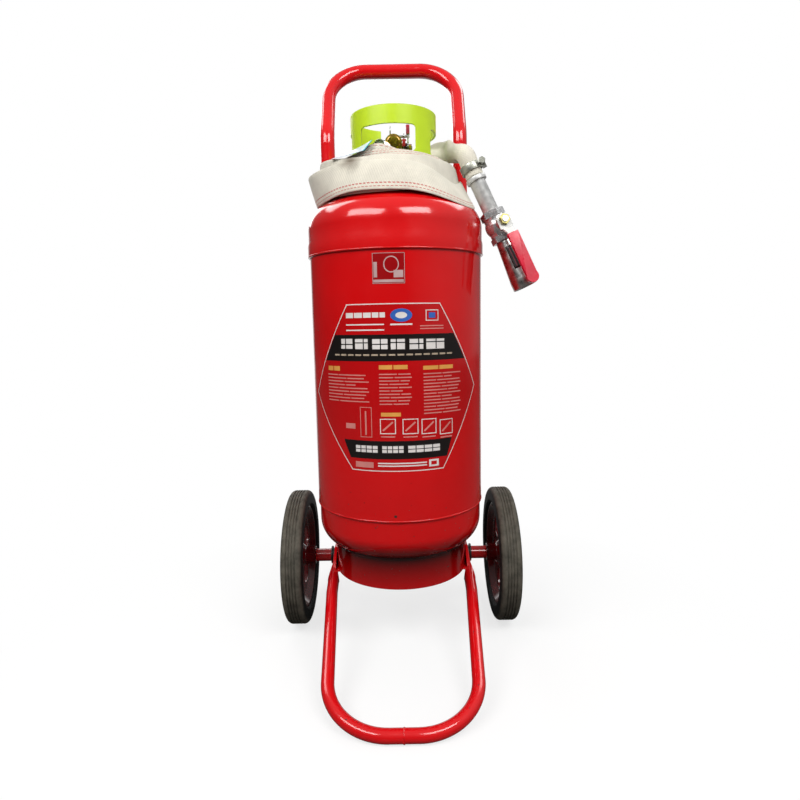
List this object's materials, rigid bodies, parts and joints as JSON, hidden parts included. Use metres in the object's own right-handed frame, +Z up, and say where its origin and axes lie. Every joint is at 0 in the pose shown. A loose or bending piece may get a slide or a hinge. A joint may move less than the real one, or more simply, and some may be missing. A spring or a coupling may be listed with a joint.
{
  "type": "wheeled fire extinguisher",
  "caption": "Wheeled dry powder fire extinguisher: a red steel tank with a tube handle and foot, rubber-tyred wheels, a guarded head valve and a wound lay-flat hose with a lever nozzle.",
  "frame": {"origin": "on the ground, at the middle of the footprint of everything but the free hose end and its nozzle", "axes": "+X to the right seen from the front, +Y to the rear where the handle is, +Z up along the tank"},
  "size_m": [0.3852, 0.432, 0.8991],
  "materials": {
    "tank_paint": "gloss enamel on rolled sheet steel",
    "frame_paint": "gloss enamel on bent steel tube",
    "rim_paint": "gloss enamel, road dust in the corners",
    "tyre_rubber": "solid rubber, grey and dusty on the tread",
    "bush_plastic": "moulded, satin",
    "zinc_steel": "bright zinc plate",
    "brass": "machined and forged",
    "chrome_plate": "polished plate",
    "satin_nickel": "turned and lightly blasted",
    "lever_white": "white powder coat",
    "grip_vinyl": "dipped vinyl, soft gloss",
    "seal_plastic": "thin moulded seal",
    "gland_dark": "blackened steel",
    "seat_plastic": "sliding plastic, satin",
    "dip_plastic": "extruded tube, satin",
    "seal_rubber": "soft, matte",
    "guard_plastic": "moulded, semi-gloss",
    "dial_paint": "matte enamel",
    "needle_paint": "matte enamel",
    "lens": "clear, flat",
    "hose_canvas": "plain-woven jacket, rubber lined",
    "card": "laminated card"
  },
  "bodies": {
    "extinguisher": {"bottom_head": "tank_paint", "barrel": "tank_paint", "top_head": "tank_paint", "base_skirt": "tank_paint", "neck_ring": "tank_paint", "handle_loop": "frame_paint", "handle_welds": "frame_paint", "foot_loop": "frame_paint", "axle_lugs": "frame_paint", "spacer_sleeves": "frame_paint", "axle": "zinc_steel", "axle_washers": "zinc_steel", "split_pins": "zinc_steel", "pin_bracket": "zinc_steel", "inlet_clamp": "zinc_steel", "hose_clamp": "zinc_steel", "nozzle_pipe": "zinc_steel", "head_valve_body": "brass", "outlet_barb": "brass", "nozzle_gland": "brass", "gauge_case": "chrome_plate", "nozzle_valve_body": "chrome_plate", "nozzle_end_cap": "chrome_plate", "nozzle_barrel": "satin_nickel", "tamper_seal": "seal_plastic", "head_gland": "gland_dark", "head_seats": "seat_plastic", "nozzle_seats": "seat_plastic", "dip_tube": "dip_plastic", "neck_seal": "seal_rubber", "valve_guard": "guard_plastic", "gauge_dial": "dial_paint", "gauge_needle": "needle_paint", "gauge_lens": "lens", "hose_inlet": "hose_canvas", "hose_coil": "hose_canvas", "hose_lead": "hose_canvas", "inspection_card": "card"},
    "wheel_left": {"left_tyre": "tyre_rubber", "left_rim": "rim_paint", "left_bush": "bush_plastic"},
    "wheel_right": {"right_tyre": "tyre_rubber", "right_rim": "rim_paint", "right_bush": "bush_plastic"},
    "head_lever": {"head_ball": "chrome_plate", "head_stem": "chrome_plate", "head_lever": "chrome_plate", "head_lever_grip": "grip_vinyl", "head_lever_nut": "brass"},
    "safety_pin": {"safety_pin": "zinc_steel", "pull_ring": "zinc_steel"},
    "nozzle_lever": {"nozzle_ball": "chrome_plate", "nozzle_stem": "chrome_plate", "nozzle_lever": "lever_white", "nozzle_lever_grip": "grip_vinyl", "nozzle_lever_nut": "brass"}
  },
  "joints": [
    {"name": "left_wheel_spin", "type": "hinge", "parent": "extinguisher", "child": "wheel_left", "pos_m": [-0.1625, 0.09455, 0.105], "axis": [1, 0, 0], "continuous": true},
    {"name": "right_wheel_spin", "type": "hinge", "parent": "extinguisher", "child": "wheel_right", "pos_m": [0.1625, 0.09455, 0.105], "axis": [1, 0, 0], "continuous": true},
    {"name": "head_lever_turn", "type": "hinge", "parent": "extinguisher", "child": "head_lever", "pos_m": [0, 0.06055, 0.72704], "axis": [-1, 0, 0], "range_deg": [0, 90]},
    {"name": "safety_pin_pull", "type": "slide", "parent": "extinguisher", "child": "safety_pin", "axis": [-1, 0, 0], "range_m": [0, 0.045]},
    {"name": "nozzle_lever_turn", "type": "hinge", "parent": "extinguisher", "child": "nozzle_lever", "pos_m": [0.14291, 0.01644, 0.60858], "axis": [0.1533, -0.9711, 0.183], "range_deg": [0, 90]}
  ]
}
